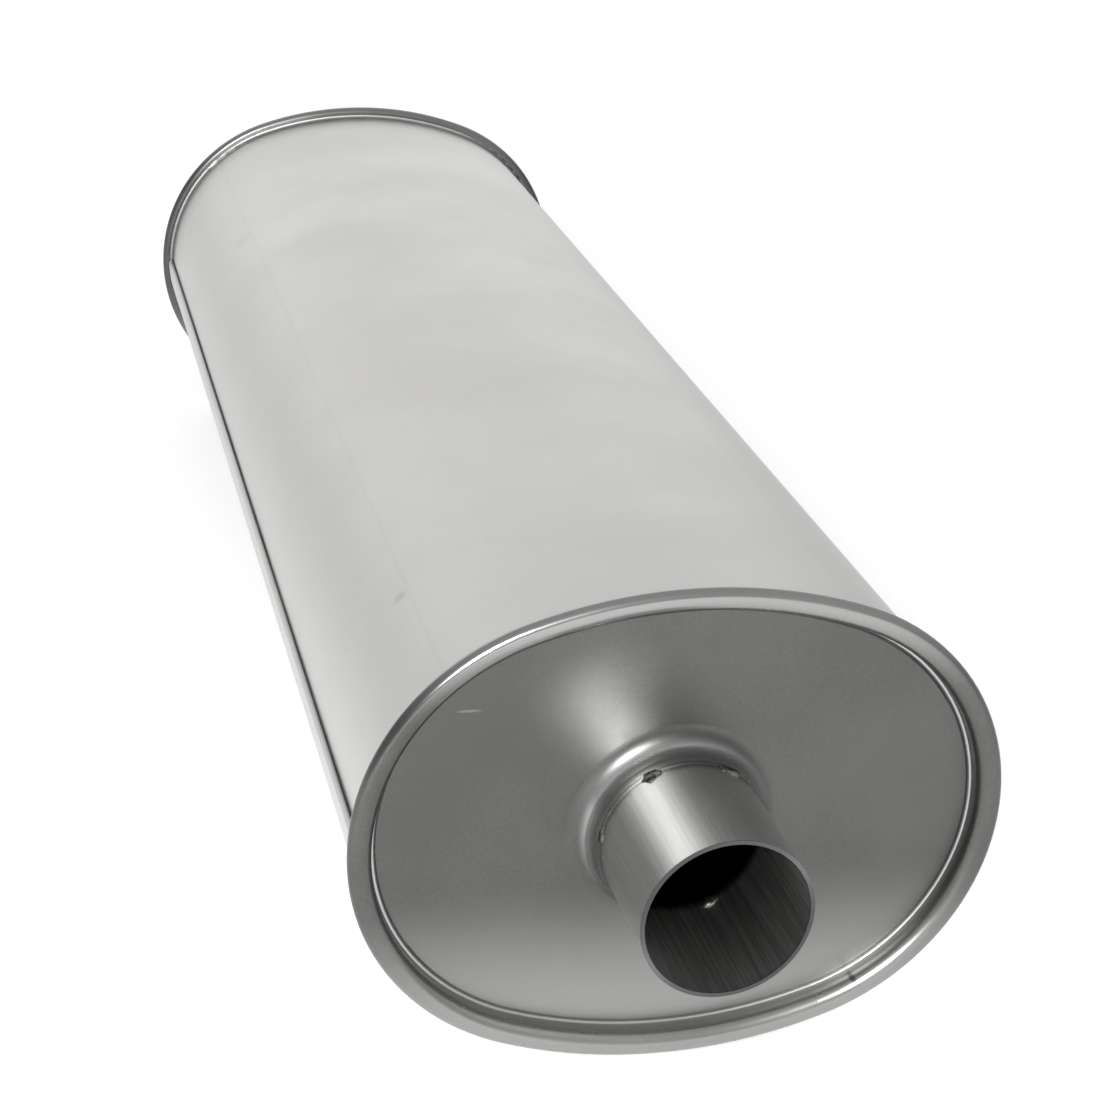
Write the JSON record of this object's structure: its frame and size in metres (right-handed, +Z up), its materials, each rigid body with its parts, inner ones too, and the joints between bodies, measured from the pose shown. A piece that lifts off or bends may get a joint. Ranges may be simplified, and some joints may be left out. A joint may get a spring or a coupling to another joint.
{
  "type": "exhaust muffler",
  "caption": "Oval exhaust muffler: double-wrapped steel shell with rolled rims, pressed heads, round inlet and outlet necks, and baffles and slotted tubes inside.",
  "frame": {"origin": "on the ground under the middle of the body, which lies on its two rolled rims", "axes": "+Z up, +Y along the body from the inlet head to the outlet head, +X to the right seen from the inlet"},
  "size_m": [0.24, 0.81, 0.188],
  "materials": {
    "wrap_steel": "matte aluminised sheet",
    "head_steel": "satin pressed sheet",
    "pipe_steel": "satin welded pipe",
    "tube_steel": "satin slotted tube",
    "baffle_steel": "satin pressed sheet",
    "weld_metal": "dark tack weld"
  },
  "bodies": {
    "root": {"outer_wrap": "wrap_steel", "inner_wrap": "wrap_steel", "front_head": "head_steel", "rear_head": "head_steel", "inlet_neck": "pipe_steel", "outlet_neck": "pipe_steel", "inlet_neck_tack_welds": "weld_metal", "outlet_neck_tack_welds": "weld_metal", "inlet_tube": "tube_steel", "return_tube": "tube_steel", "outlet_tube": "tube_steel", "tuning_tube": "tube_steel", "first_baffle": "baffle_steel", "second_baffle": "baffle_steel", "third_baffle": "baffle_steel", "fourth_baffle": "baffle_steel", "inlet_tube_tack_welds": "weld_metal", "return_tube_tack_welds": "weld_metal", "outlet_tube_tack_welds": "weld_metal", "tuning_tube_tack_welds": "weld_metal"}
  },
  "joints": []
}
